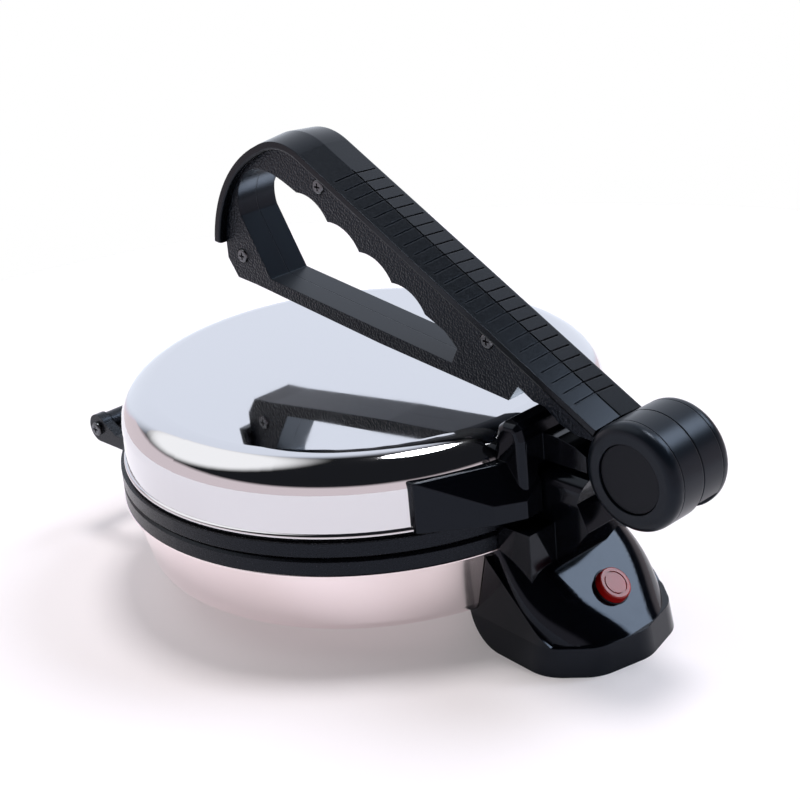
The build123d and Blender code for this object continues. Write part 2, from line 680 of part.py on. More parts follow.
cover_spots = [(COVER_SCREW_X, COVER_SCREW_BACK), (-COVER_SCREW_X, COVER_SCREW_BACK)]
with BuildPart() as leg_cover:
    extrude(Pos(0, 0, COVER_SINK) * leg_outline(COVER_INSET + SEAT_GAP), amount=COVER_T)
    cover_front = ROOM_FRONT_BACK + SEAT_GAP
    add(prism(FAR, (0, -1), (cover_front, -1), (cover_front, FAR), (0, FAR)), mode=Mode.SUBTRACT)
    with BuildSketch(rear_plan):
        with Locations(*cover_spots):
            Circle(SCREW_HOLE_R)
    extrude(amount=COVER_SINK + COVER_T, mode=Mode.SUBTRACT)
leg_cover.part.label = "leg_cover"

with BuildPart() as cover_screws:
    with BuildSketch(rear_plan.offset(COVER_SINK)):
        with Locations(*cover_spots):
            Circle(SCREW_HEAD_R)
    extrude(amount=-SCREW_HEAD_T)
    fillet(cover_screws.edges().group_by(Axis.Z)[0], radius=SCREW_HEAD_T / 2)
    with BuildSketch(rear_plan.offset(COVER_SINK)):
        with Locations(*cover_spots):
            Circle(SCREW_SHANK_R)
    extrude(amount=COVER_T + COVER_SCREW_REACH - SEAT_GAP)
    with BuildSketch(rear_plan.offset(COVER_SINK - SCREW_HEAD_T)):
        with Locations(*cover_spots):
            Rectangle(CROSS_L, CROSS_W)
            Rectangle(CROSS_W, CROSS_L)
    extrude(amount=CROSS_DEPTH, mode=Mode.SUBTRACT)
cover_screws.part.label = "cover_screws"

with BuildPart() as lamp_bezel:
    with BuildSketch(hood_face):
        Circle(LAMP_R)
        Circle(LAMP_BODY_R, mode=Mode.SUBTRACT)
    extrude(amount=BEZEL_T)
    rims = lamp_bezel.edges().filter_by(GeomType.CIRCLE).sort_by(SortBy.RADIUS)[-2:]
    chamfer(rims.sort_by(Axis.Z)[-1], length=BEZEL_CHAMFER)
lamp_bezel.part.label = "lamp_bezel"

with BuildPart() as lamp_lens:
    with BuildSketch(hood_face.offset(BEZEL_T)):
        Circle(LAMP_LENS_R)
    extrude(amount=LAMP_STAND - BEZEL_T, taper=LAMP_TAPER)
    fillet(lamp_lens.faces().sort_by(Axis.Z)[-1].edges(), radius=LAMP_EDGE_R)
    with BuildSketch(hood_face.offset(LAMP_STAND)):
        Circle(LAMP_RING_R)
        Circle(LAMP_RING_R - LAMP_RING_W, mode=Mode.SUBTRACT)
    extrude(amount=-LAMP_RING_W, mode=Mode.SUBTRACT)
    with BuildSketch(hood_face.offset(BEZEL_T)):
        Circle(LAMP_BODY_R - SEAT_GAP)
    extrude(amount=-(LAMP_DEPTH - SEAT_GAP))
lamp_lens.part.label = "lamp_lens"

with BuildPart() as cord_gland:
    with BuildSketch(gland_plane):
        Circle(GLAND_R)
    extrude(amount=GLAND_T)
    fillet(cord_gland.edges().group_by(Axis.X)[0], radius=GLAND_EDGE_R)
    with BuildSketch(gland_plane):
        Circle(GLAND_NECK_R)
    extrude(amount=-GLAND_NECK)
    with BuildSketch(gland_plane):
        Circle(GLAND_BORE_R)
    extrude(amount=FAR, both=True, mode=Mode.SUBTRACT)
cord_gland.part.label = "cord_gland"

# ---- feet, front grip bar and hinge pin ----
with BuildPart() as front_feet:
    with BuildSketch(at_z(BOWL_BOTTOM_Z)):
        with Locations(*foot_spots):
            Circle(FOOT_R)
    extrude(amount=-BOWL_BOTTOM_Z, taper=FOOT_TAPER)
    with BuildSketch(at_z(BOWL_BOTTOM_Z)):
        with Locations(*foot_spots):
            Circle(SCREW_HOLE_R)
    extrude(amount=-SHELL_SCREW_REACH, mode=Mode.SUBTRACT)
front_feet.part.label = "front_feet"

with BuildPart() as shell_screws:
    with BuildSketch(at_z(BOWL_BOTTOM_Z + SHEET_T)):
        with Locations(*shell_spots):
            Circle(SCREW_HEAD_R)
    extrude(amount=SCREW_HEAD_T)
    fillet(shell_screws.edges().group_by(Axis.Z)[-1], radius=SCREW_HEAD_T / 2)
    with BuildSketch(at_z(BOWL_BOTTOM_Z + SHEET_T)):
        with Locations(*shell_spots):
            Circle(SCREW_SHANK_R)
    extrude(amount=-(SHEET_T + SHELL_SCREW_REACH - SEAT_GAP))
shell_screws.part.label = "shell_screws"

bar_end_x = ARM_X - SEAT_GAP
bar_plane = Plane(origin=(0, PLATE_Y - ARM_REACH, ARM_Z), x_dir=(0, 1, 0), z_dir=(1, 0, 0))
with BuildPart() as front_bar:
    with BuildSketch(bar_plane):
        Circle(BAR_R)
    extrude(amount=bar_end_x, both=True)
    chamfer(front_bar.edges().filter_by(GeomType.CIRCLE), length=BAR_CHAMFER)
    with BuildSketch(bar_plane.offset(ARM_X - BAR_SCREW_REACH)):
        Circle(SCREW_HOLE_R)
    extrude(amount=BAR_SCREW_REACH, mode=Mode.SUBTRACT)
    with BuildSketch(bar_plane.offset(BAR_SCREW_REACH - ARM_X)):
        Circle(SCREW_HOLE_R)
    extrude(amount=-BAR_SCREW_REACH, mode=Mode.SUBTRACT)
front_bar.part.label = "front_bar"

with BuildPart() as front_bar_screws:
    with BuildSketch(bar_plane.offset(ARM_X + ARM_W)):
        Circle(SCREW_HEAD_R)
    extrude(amount=SCREW_HEAD_T)
    fillet(front_bar_screws.edges().group_by(Axis.X)[-1], radius=SCREW_HEAD_T / 2)
    with BuildSketch(bar_plane.offset(ARM_X + ARM_W)):
        Circle(SCREW_SHANK_R)
    extrude(amount=-(ARM_W + BAR_SCREW_REACH - SEAT_GAP))
    with BuildSketch(bar_plane.offset(ARM_X + ARM_W + SCREW_HEAD_T)):
        Rectangle(CROSS_L, CROSS_W)
        Rectangle(CROSS_W, CROSS_L)
    extrude(amount=-CROSS_DEPTH, mode=Mode.SUBTRACT)
    mirror(about=Plane.YZ)
front_bar_screws.part.label = "front_bar_screws"

plug_seat_x = HUB_HALF - PLUG_SINK - PLUG_T
with BuildPart() as hinge_pin:
    with BuildSketch(hub_side):
        Circle(PIN_R)
    extrude(amount=plug_seat_x - PIN_END_GAP, both=True)
    chamfer(hinge_pin.edges().filter_by(GeomType.CIRCLE), length=PIN_CHAMFER)
hinge_pin.part.label = "hinge_pin"

# ---- lid bracket ----
wing, shoulder, spine = SADDLE_PLAN
with BuildPart() as saddle:
    with BuildSketch(rear_plan.offset(SADDLE_BOTTOM_Z)):
        with BuildLine():
            inner = ((0, SADDLE_INNER_BACK), (wing[0], SADDLE_INNER_BACK))
            Polyline(*inner, wing, shoulder, spine, (0, spine[1]))
            mirror(about=Plane.YZ)
        make_face()
    extrude(amount=SADDLE_TOP_Z - SADDLE_BOTTOM_Z)
    for hand in (1, -1):
        rim = Vector(hand * wing[0], wing[1] + DATUM_Y, SADDLE_TOP_Z)
        corner = Vector(hand * shoulder[0], shoulder[1] + DATUM_Y, SADDLE_EDGE_Z)
        inner = Vector(hand * SADDLE_ROOF_IN[0], SADDLE_ROOF_IN[1] + DATUM_Y, SADDLE_TOP_Z)
        slope = (inner - rim).cross(corner - rim)
        if slope.Z < 0:
            slope = slope * -1
        split(bisect_by=Plane(origin=rim, z_dir=slope), keep=Keep.BOTTOM)
    upper_edges = saddle.edges().filter_by(lambda edge: edge.center().Z > SADDLE_BOTTOM_Z + SADDLE_ROUND)
    outer_edges = upper_edges.group_by(Axis.Y)[1:]
    fillet([edge for group in outer_edges for edge in group], radius=SADDLE_ROUND)

with BuildPart() as hump:
    add(prism(HUMP_HALF, *HUMP_OUTLINE))
    fillet(hump.faces().filter_by(Axis.X).edges(), radius=HUMP_ROUND)

with BuildPart() as lid_room:
    with BuildSketch(section):
        with BuildLine():
            FilletPolyline(
                (0, LID_TOP_Z + SEAT_GAP),
                (LID_R + SEAT_GAP, LID_TOP_Z + SEAT_GAP),
                (LID_R + SEAT_GAP, 0),
                radius=LID_ROLL_R,
            )
            Polyline((LID_R + SEAT_GAP, 0), (0, 0), (0, LID_TOP_Z + SEAT_GAP))
        make_face()
        with Locations((0, LID_RING_TOP)):
            Rectangle(LID_R + BEAD_R, 2 * BEAD_R + SEAT_GAP, align=Align.MIN)
    revolve(axis=plate_axis)

with BuildPart() as lid_bracket:
    add(saddle.part)
    add(hump.part)
    add(prism(KNUCKLE_HALF, *KNUCKLE_OUTLINE))
    with BuildSketch(ear_side.offset(ARM_INNER), ear_side.offset(-ARM_OUTER)):
        Circle(EYE_R)
        with Locations((0, -ARM_DROP)):
            Rectangle(HUB_BACK - SLOT_BACK, ARM_DROP + ARM_RISE, align=(Align.MAX, Align.MIN))
    extrude(amount=ARM_T)
    with BuildSketch(hub_side):
        Circle(PIN_R + RUN_GAP)
    extrude(amount=FAR, both=True, mode=Mode.SUBTRACT)
    ear_slot = prism(ARM_INNER, (SLOT_BACK, 0), (SLOT_BACK, FAR), (FAR, FAR), (FAR, 0))
    add(Pos(EAR_X, 0, 0) * ear_slot, mode=Mode.SUBTRACT)
    head_notch = ((NOTCH_BACK, 0), (NOTCH_BACK, NOTCH_TOP_Z), (SLOT_BACK, NOTCH_TOP_Z), (SLOT_BACK, 0))
    add(prism(NOTCH_HALF, *head_notch), mode=Mode.SUBTRACT)
    add(lid_room.part, mode=Mode.SUBTRACT)
    with BuildSketch(*bracket_spots):
        Circle(SCREW_HOLE_R)
    extrude(amount=SHEET_T + BRACKET_SCREW_REACH, mode=Mode.SUBTRACT)
lid_bracket.part.label = "lid_bracket"

with BuildPart() as bracket_screws:
    with BuildSketch(*bracket_spots):
        Circle(SCREW_HEAD_R)
    extrude(amount=-SCREW_HEAD_T)
    with BuildSketch(*bracket_spots):
        Circle(SCREW_SHANK_R)
    extrude(amount=SHEET_T + BRACKET_SCREW_REACH - SEAT_GAP)
bracket_screws.part.label = "bracket_screws"

# ---- press lever ----
grip_fall = tan(GRIP_SLOPE)


def seat_z(back):
    """Height of the straight seat of the grip cap."""
    return GRIP_TOP[1] - grip_fall * (back - GRIP_TOP[0])


def finger_z(back):
    """Height of the finger side of the top bar, at its cusps."""
    return FINGER_Z - FINGER_FALL * back


def hub_point(radius, angle):
    """A point (back, z) on the hub, at an angle from +Y towards +Z."""
    return HUB_BACK + radius * cos(radians(angle)), HUB_Z + radius * sin(radians(angle))


crown_end = (CROWN_END_BACK, seat_z(CROWN_END_BACK))
with BuildPart() as lever_body:
    with BuildSketch(side) as lever_plan:
        with BuildLine():
            Polyline(
                (SEAT_END_BACK, seat_z(SEAT_END_BACK)),
                hub_point(HUB_R - HUB_OVERLAP, HUB_JOIN_TO),
                hub_point(HUB_R - HUB_OVERLAP, HUB_SHELL_TO),
                hub_point(HUB_R, HUB_SHELL_TO),
                *LEVER_UNDERSIDE,
                NOSE[0],
            )
            ThreePointArc(*NOSE)
            ThreePointArc(*CROWN, crown_end)
            Line(crown_end, (SEAT_END_BACK, seat_z(SEAT_END_BACK)))
        make_face()
        with BuildLine():
            cusps = [SCALLOP_START_BACK + step * SCALLOP_PITCH for step in range(SCALLOPS + 1)]
            for near, far in zip(cusps, cusps[1:]):
                middle = (near + far) / 2
                rise = (SCALLOP_DEPTH * sin(GRIP_SLOPE), SCALLOP_DEPTH * cos(GRIP_SLOPE))
                crest = (middle + rise[0], finger_z(middle) + rise[1])
                ThreePointArc((near, finger_z(near)), crest, (far, finger_z(far)))
            last_cusp = (cusps[-1], finger_z(cusps[-1]))
            Polyline(last_cusp, WINDOW_END, WINDOW_REAR, WINDOW_FLOOR[1], WINDOW_FLOOR[0])
            Line(WINDOW_FLOOR[0], WINDOW_FRONT[-1])
            Spline((cusps[0], finger_z(cusps[0])), *WINDOW_FRONT)
        make_face(mode=Mode.SUBTRACT)
    extrude(amount=GRIP_HALF)
    with BuildSketch(side):
        with BuildLine():
            Polyline(
                (POCKET_FROM_BACK, seat_z(POCKET_FROM_BACK) - POCKET_TOP_WALL),
                (POCKET_FROM_BACK, finger_z(POCKET_FROM_BACK) + POCKET_FINGER_WALL),
                (POCKET_TO_BACK, finger_z(POCKET_TO_BACK) + POCKET_FINGER_WALL),
                (POCKET_TO_BACK, seat_z(POCKET_TO_BACK) - POCKET_TOP_WALL),
                close=True,
            )
        make_face()
    extrude(amount=GRIP_HALF - GRIP_WALL, mode=Mode.SUBTRACT)


def hub_half(shell_from):
    """The right half of the hub, whose shell starts at an angle from +Y towards +Z."""
    with BuildPart() as half:
        with BuildSketch(hub_side.offset(CHEEK_IN)):
            Circle(HUB_R)
        extrude(amount=HUB_HALF - CHEEK_IN)
        fillet(half.edges().group_by(Axis.X)[-1], radius=HUB_ROUND)
        with BuildSketch(side):
            with BuildLine():
                shell_in = HUB_R - HUB_SHELL_T
                shell_mid = (shell_from + HUB_SHELL_TO) / 2
                outer_ends = (hub_point(HUB_R, shell_from), hub_point(HUB_R, HUB_SHELL_TO))
                inner_ends = (hub_point(shell_in, shell_from), hub_point(shell_in, HUB_SHELL_TO))
                ThreePointArc(outer_ends[0], hub_point(HUB_R, shell_mid), outer_ends[1])
                Line(outer_ends[1], inner_ends[1])
                ThreePointArc(inner_ends[1], hub_point(shell_in, shell_mid), inner_ends[0])
                Line(inner_ends[0], outer_ends[0])
            make_face()
        extrude(amount=CHEEK_IN)
        for groove_x in (0, CHEEK_IN):
            with BuildSketch(hub_side.offset(groove_x)):
                Circle(HUB_R + GROOVE_DEPTH)
                Circle(HUB_R - GROOVE_DEPTH, mode=Mode.SUBTRACT)
            extrude(amount=GROOVE_W, mode=Mode.SUBTRACT)
        with BuildSketch(hub_side.offset(plug_seat_x)):
            Circle(PLUG_R)
        extrude(amount=HUB_HALF, mode=Mode.SUBTRACT)
        with BuildSketch(hub_side):
            Circle(PIN_R + RUN_GAP)
        extrude(amount=HUB_HALF, mode=Mode.SUBTRACT)
    return half.part


screw_planes = [
    Plane(origin=(0, DATUM_Y + back, z), x_dir=(0, 1, 0), z_dir=(1, 0, 0)) for back, z in LEVER_SCREWS
]
cbore_x = GRIP_HALF - CBORE_DEPTH
with BuildPart() as lever_right:
    add(lever_body.part)
    add(hub_half(HUB_SHELL_FROM["right"]))
    with BuildSketch(*screw_planes):
        Circle(SCREW_HOLE_R)
    extrude(amount=GRIP_HALF, mode=Mode.SUBTRACT)
    with BuildSketch(*[place.offset(cbore_x) for place in screw_planes]):
        Circle(CBORE_R)
    extrude(amount=CBORE_DEPTH, mode=Mode.SUBTRACT)
lever_right.part.label = "lever_right"

with BuildPart() as lever_left:
    add(lever_body.part.mirror(Plane.YZ))
    add(hub_half(HUB_SHELL_FROM["left"]).mirror(Plane.YZ))
    with BuildSketch(*screw_planes):
        Circle(SCREW_HOLE_R)
    extrude(amount=-LEVER_SCREW_REACH, mode=Mode.SUBTRACT)
lever_left.part.label = "lever_left"

with BuildPart() as lever_screws:
    with BuildSketch(*[place.offset(cbore_x) for place in screw_planes]):
        Circle(SCREW_HEAD_R)
    extrude(amount=SCREW_HEAD_T)
    fillet(lever_screws.edges().group_by(Axis.X)[-1], radius=SCREW_HEAD_T / 2)
    with BuildSketch(*[place.offset(cbore_x) for place in screw_planes]):
        Circle(SCREW_SHANK_R)
    extrude(amount=-(cbore_x + LEVER_SCREW_REACH - SEAT_GAP))
    with BuildSketch(*[place.offset(cbore_x + SCREW_HEAD_T) for place in screw_planes]):
        Rectangle(CROSS_L, CROSS_W)
        Rectangle(CROSS_W, CROSS_L)
    extrude(amount=-CROSS_DEPTH, mode=Mode.SUBTRACT)
lever_screws.part.label = "lever_screws"

cap_start = Plane(
    origin=(0, DATUM_Y + CAP_END_BACK, seat_z(CAP_END_BACK)),
    x_dir=(1, 0, 0),
    z_dir=(0, -cos(GRIP_SLOPE), sin(GRIP_SLOPE)),
)
with BuildPart() as grip_cap:
    with BuildLine(side):
        Line((CAP_END_BACK, seat_z(CAP_END_BACK)), crown_end)
        ThreePointArc(crown_end, CROWN[1], CROWN[0])
        ThreePointArc(NOSE[2], NOSE[1], NOSE[0])
    with BuildSketch(cap_start) as cap_end:
        with BuildLine():
            Polyline(
                (-CAP_HALF, 0),
                (-CAP_HALF, CAP_T),
                (0, CAP_T + CAP_RIDGE),
                (CAP_HALF, CAP_T),
                (CAP_HALF, 0),
                close=True,
            )
        make_face()
        side_corners = cap_end.vertices().group_by(Axis.X)[::2]
        fillet([corners.sort_by(Axis.Z)[-1] for corners in side_corners], radius=CAP_EDGE_R)
    sweep(transition=Transition.RIGHT)
    groove_step = CAP_GROOVE_PITCH * cos(GRIP_SLOPE)
    grooves = [CAP_GROOVE_START + step * groove_step for step in range(CAP_GROOVES)]
    edge_t = CAP_T + CAP_RIDGE * (1 - CAP_GROOVE_HALF / CAP_HALF)
    with BuildSketch(*[cap_start.offset((CAP_END_BACK - back) / cos(GRIP_SLOPE)) for back in grooves]):
        with BuildLine():
            Polyline(
                (-CAP_GROOVE_HALF, edge_t - CAP_GROOVE_DEPTH),
                (-CAP_GROOVE_HALF, edge_t + CAP_GROOVE_DEPTH),
                (0, CAP_T + CAP_RIDGE + CAP_GROOVE_DEPTH),
                (CAP_GROOVE_HALF, edge_t + CAP_GROOVE_DEPTH),
                (CAP_GROOVE_HALF, edge_t - CAP_GROOVE_DEPTH),
                (0, CAP_T + CAP_RIDGE - CAP_GROOVE_DEPTH),
                close=True,
            )
        make_face()
    extrude(amount=CAP_GROOVE_W, mode=Mode.SUBTRACT)
    ridge_low = (CAP_T + CAP_RIDGE - CAP_GROOVE_DEPTH) / cos(GRIP_SLOPE)
    ridge_high = (CAP_T + CAP_RIDGE + CAP_GROOVE_DEPTH) / cos(GRIP_SLOPE)
    ridge_line = (
        (CAP_GROOVE_START, seat_z(CAP_GROOVE_START) + ridge_low),
        (CAP_GROOVE_START, seat_z(CAP_GROOVE_START) + ridge_high),
        (CAP_END_BACK + CAP_T, seat_z(CAP_END_BACK + CAP_T) + ridge_high),
        (CAP_END_BACK + CAP_T, seat_z(CAP_END_BACK + CAP_T) + ridge_low),
    )
    add(prism(CAP_GROOVE_W / 2, *ridge_line), mode=Mode.SUBTRACT)
grip_cap.part.label = "grip_cap"

plugs = {}
for name, hand in (("hub_plug_right", 1), ("hub_plug_left", -1)):
    with BuildPart() as plug:
        with BuildSketch(hub_side.offset(hand * plug_seat_x)):
            Circle(PLUG_R - PLUG_FIT)
        extrude(amount=hand * PLUG_T)
        chamfer(plug.edges().group_by(Axis.X)[-1 if hand > 0 else 0], length=PLUG_CHAMFER)
    plug.part.label = name
    plugs[name] = plug.part

coil_length = SPRING_TURNS * SPRING_PITCH
coil_x = CHEEK_IN - SEAT_GAP - SPRING_WIRE_R - coil_length  # the coil ends beside the right cheek
with BuildPart() as return_spring:
    with BuildLine():
        coil = Helix(
            pitch=SPRING_PITCH,
            height=coil_length,
            radius=SPRING_R,
            center=(coil_x, HUB_Y, HUB_Z),
            direction=(1, 0, 0),
        )
    with BuildSketch(Plane(origin=coil @ 0, z_dir=coil % 0)):
        Circle(SPRING_WIRE_R)
    sweep(is_frenet=True)
    with BuildSketch(Plane(origin=coil @ 0, z_dir=(0, 0, 1))):
        Circle(SPRING_WIRE_R)
    extrude(amount=SPRING_LEG)
    with BuildSketch(Plane(origin=coil @ 1, z_dir=(0, 0, -1))):
        Circle(SPRING_WIRE_R)
    extrude(amount=SPRING_LEG)
return_spring.part.label = "return_spring"

pieces = [
    lid_shell.part,
    base_shell.part,
    base_ring.part,
    lid_ring.part,
    lower_plate,
    upper_plate,
    lower_heater,
    upper_heater,
    lower_shield,
    upper_shield,
    lower_plate_screws,
    upper_plate_screws,
    thermostat.part,
    rear_leg.part,
    leg_cover.part,
    cover_screws.part,
    lamp_bezel.part,
    lamp_lens.part,
    cord_gland.part,
    front_feet.part,
    shell_screws.part,
    front_bar.part,
    front_bar_screws.part,
    hinge_pin.part,
    lid_bracket.part,
    bracket_screws.part,
    lever_right.part,
    lever_left.part,
    lever_screws.part,
    grip_cap.part,
    plugs["hub_plug_right"],
    plugs["hub_plug_left"],
    return_spring.part,
]
for piece in pieces:
    export_step(piece, f"parts/{piece.label}.step")
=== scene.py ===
import json
import math

import bmesh
import bpy
from mathutils import Matrix, Vector

# Looks of an electric roti maker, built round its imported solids. Metres, +Z up, front at -Y, hinge at +Y.

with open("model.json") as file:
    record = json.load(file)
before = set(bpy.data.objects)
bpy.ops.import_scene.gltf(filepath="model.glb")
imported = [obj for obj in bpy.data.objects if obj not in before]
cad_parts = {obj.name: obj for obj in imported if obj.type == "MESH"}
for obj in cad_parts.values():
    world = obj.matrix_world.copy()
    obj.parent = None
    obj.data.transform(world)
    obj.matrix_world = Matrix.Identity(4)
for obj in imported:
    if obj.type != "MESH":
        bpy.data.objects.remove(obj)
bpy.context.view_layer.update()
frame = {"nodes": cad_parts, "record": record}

MM = 0.001
WHITE = (1, 1, 1, 1)

# The lever's hub, which turns on the hinge pin and stays smooth.
HUB_Y = 152.7 * MM
HUB_Z = 97.5 * MM
HUB_R = 24.6 * MM
HUB_MARGIN = 1.5 * MM  # the grain of the lever's sides stops this far outside the hub
SIDE_FACING = 0.9  # faces that look along X at least this much are sides of the lever

PEBBLE_MM = 1.15  # across one pebble of the etched grain
PEBBLE_DEPTH_MM = 0.4
WORN_EDGE_MM = 0.5  # radius that wear and the tool leave on moulded edges
WORN_PEBBLE_EDGE_MM = 0.6

# Numbers of the Mix node's colour sockets, which share their names with its other sockets.
MIX_FIRST = 6
MIX_SECOND = 7
MIX_RESULT = 2


# ---- colours and nodes ----
def linear(code):
    """An sRGB hex colour as linear RGBA."""
    parts = [int(code[place:place + 2], 16) / 255 for place in (1, 3, 5)]
    lit = [part / 12.92 if part <= 0.04045 else ((part + 0.055) / 1.055) ** 2.4 for part in parts]
    return (*lit, 1.0)


def add_node(tree, kind, settings=None, links=None):
    """Adds one node, sets its sockets and properties, and links its inputs."""
    made = tree.nodes.new(kind)
    for key, value in (settings or {}).items():
        if key in made.inputs:
            made.inputs[key].default_value = value
        else:
            setattr(made, key, value)
    for key, source in (links or {}).items():
        tree.links.new(source, made.inputs[key])
    return made


def math_node(tree, operation, first, second):
    """One sum, product or comparison of a socket with a socket or a number."""
    made = add_node(tree, "ShaderNodeMath", {"operation": operation})
    for place, value in enumerate((first, second)):
        if isinstance(value, (int, float)):
            made.inputs[place].default_value = value
        else:
            tree.links.new(value, made.inputs[place])
    return made.outputs["Value"]


def new_material(name, colour, settings):
    """A material with its principled shader and its object coordinates, ready for patterns."""
    made = bpy.data.materials.new(name)
    made.use_nodes = True
    tree = made.node_tree
    shader = tree.nodes["Principled BSDF"]
    shader.inputs["Base Color"].default_value = linear(colour)
    for socket, value in settings.items():
        shader.inputs[socket].default_value = value
    place = add_node(tree, "ShaderNodeTexCoord").outputs["Object"]
    return made, tree, shader, place


def grain(tree, place, size_mm, detail, distortion=0.0):
    """Noise whose cells are about size_mm across."""
    return add_node(
        tree,
        "ShaderNodeTexNoise",
        {"Scale": 1 / (size_mm * MM), "Detail": detail, "Distortion": distortion},
        {"Vector": place},
    ).outputs["Fac"]


def spread(tree, source, low, high, start=0.3, end=0.7):
    """Maps a pattern's middle range to low..high."""
    return add_node(
        tree,
        "ShaderNodeMapRange",
        {"From Min": start, "From Max": end, "To Min": low, "To Max": high},
        {"Value": source},
    ).outputs["Result"]


def vary_gloss(tree, shader, pattern, smoothest, roughest):
    """Lets the roughness follow a pattern."""
    tree.links.new(spread(tree, pattern, smoothest, roughest), shader.inputs["Roughness"])


def relief(tree, shader, height, depth_mm, strength, edge_mm=0.0):
    """Turns a height pattern into bump of a real depth, over worn edges where a radius is given."""
    bump = add_node(
        tree, "ShaderNodeBump", {"Strength": strength, "Distance": depth_mm * MM}, {"Height": height}
    )
    if edge_mm:
        edge = add_node(tree, "ShaderNodeBevel", {"samples": 4, "Radius": edge_mm * MM})
        tree.links.new(edge.outputs["Normal"], bump.inputs["Normal"])
    tree.links.new(bump.outputs["Normal"], shader.inputs["Normal"])


# ---- materials ----
# Stainless steel, drawn and buffed to a mirror: clean reflections that bend slightly where the sheet
# waves, and a faint haze left by the buffing wheel.
def buffed_stainless(name, colour, roughness, haze):
    made, tree, shader, place = new_material(name, colour, {"Metallic": 1.0})
    wipe = grain(tree, place, size_mm=22, detail=4.0, distortion=0.6)
    vary_gloss(tree, shader, wipe, roughness, roughness + haze)
    wave = grain(tree, place, size_mm=70, detail=0.0)
    relief(tree, shader, wave, depth_mm=0.6, strength=0.3)
    return made


# Machined, plated or drawn metal: a plain dull shine with a fine run of grain.
def plain_metal(name, colour, roughness, grain_mm):
    made, tree, shader, place = new_material(name, colour, {"Metallic": 1.0})
    run = grain(tree, place, grain_mm, detail=3.0)
    vary_gloss(tree, shader, run, roughness, roughness + 0.15)
    relief(tree, shader, run, depth_mm=0.02, strength=0.5)
    return made


def moulding(name, colour):
    """Moulded black phenolic, or another moulded piece, with a faint sheen whose blue tint is painted,
    standing in for cool light in its reflections.
    """
    # The blue Specular Tint is a painted reflection colour, not a colour of the plastic.
    sheen_painted_blue = {"IOR": 1.45, "Specular IOR Level": 0.27, "Specular Tint": linear("#D2E0F6")}
    return new_material(name, colour, sheen_painted_blue)


# Moulded in a polished tool: deep black, wet gloss and the slow waviness of moulded walls.
def gloss_moulding(name, colour, roughness):
    made, tree, shader, place = moulding(name, colour)
    dust = grain(tree, place, size_mm=5, detail=3.0)
    vary_gloss(tree, shader, dust, roughness, roughness + 0.05)
    wave = grain(tree, place, size_mm=14, detail=0.0)
    relief(tree, shader, wave, depth_mm=0.08, strength=0.4, edge_mm=WORN_EDGE_MM)
    return made


# Moulded in a spark-eroded tool: satin, with a fine even sparkle.
def satin_moulding(name, colour, roughness, grit_mm, depth_mm):
    made, tree, shader, place = moulding(name, colour)
    grit = grain(tree, place, grit_mm, detail=2.0)
    vary_gloss(tree, shader, grit, roughness - 0.05, roughness + 0.08)
    relief(tree, shader, grit, depth_mm, strength=0.6, edge_mm=WORN_EDGE_MM)
    return made


# Moulded with a leather-like etched grain on the side walls of the lever: rounded pebbles a little over
# a millimetre across, which stop short of the smooth hub.
def pebbled_moulding(name, colour, roughness):
    made, tree, shader, place = moulding(name, colour)
    shader.inputs["Roughness"].default_value = roughness
    pebbles = add_node(
        tree,
        "ShaderNodeTexVoronoi",
        {"feature": "SMOOTH_F1", "Scale": 1 / (PEBBLE_MM * MM), "Smoothness": 0.5, "Randomness": 1.0},
        {"Vector": place},
    ).outputs["Distance"]
    normal = add_node(tree, "ShaderNodeNewGeometry").outputs["True Normal"]
    facing = add_node(tree, "ShaderNodeSeparateXYZ", links={"Vector": normal}).outputs["X"]
    side = math_node(tree, "GREATER_THAN", math_node(tree, "ABSOLUTE", facing, 0), SIDE_FACING)
    spot = add_node(tree, "ShaderNodeSeparateXYZ", links={"Vector": place})
    behind = math_node(tree, "SUBTRACT", spot.outputs["Y"], HUB_Y)
    above = math_node(tree, "SUBTRACT", spot.outputs["Z"], HUB_Z)
    squares = math_node(tree, "ADD", math_node(tree, "POWER", behind, 2), math_node(tree, "POWER", above, 2))
    outside = math_node(tree, "GREATER_THAN", squares, (HUB_R + HUB_MARGIN) ** 2)
    grained = math_node(tree, "MULTIPLY", side, outside)
    height = math_node(tree, "MULTIPLY", pebbles, grained)
    relief(tree, shader, height, -PEBBLE_DEPTH_MM, strength=1.0, edge_mm=WORN_PEBBLE_EDGE_MM)
    return made


# Aluminium with a sprayed non-stick coat: soft dark grey with a fine pale fleck.
def nonstick(name, colour, fleck_colour, roughness):
    made, tree, shader, place = new_material(name, colour, {"IOR": 1.4, "Roughness": roughness})
    fleck = grain(tree, place, size_mm=0.9, detail=2.0)
    share = spread(tree, fleck, 0.0, 1.0, start=0.66, end=0.74)
    coat = add_node(tree, "ShaderNodeMix", {"data_type": "RGBA"}, {"Factor": share})
    coat.inputs[MIX_FIRST].default_value = linear(colour)
    coat.inputs[MIX_SECOND].default_value = linear(fleck_colour)
    tree.links.new(coat.outputs[MIX_RESULT], shader.inputs["Base Color"])
    relief(tree, shader, fleck, depth_mm=0.05, strength=0.5)
    return made


# Clear red acrylic, injection moulded: light sinks in and comes back deep red.
def red_acrylic(name, colour, roughness):
    depths = (4 * MM, 0.6 * MM, 0.4 * MM)  # how far red, green and blue light travel inside
    body = {"IOR": 1.49, "Roughness": roughness, "Subsurface Weight": 0.2, "Subsurface Radius": depths}
    made, tree, shader, place = new_material(name, colour, body)
    shader.inputs["Specular IOR Level"].default_value = 0.3
    cells = grain(tree, place, size_mm=2.2, detail=1.0)
    relief(tree, shader, cells, depth_mm=0.1, strength=0.4)
    return made


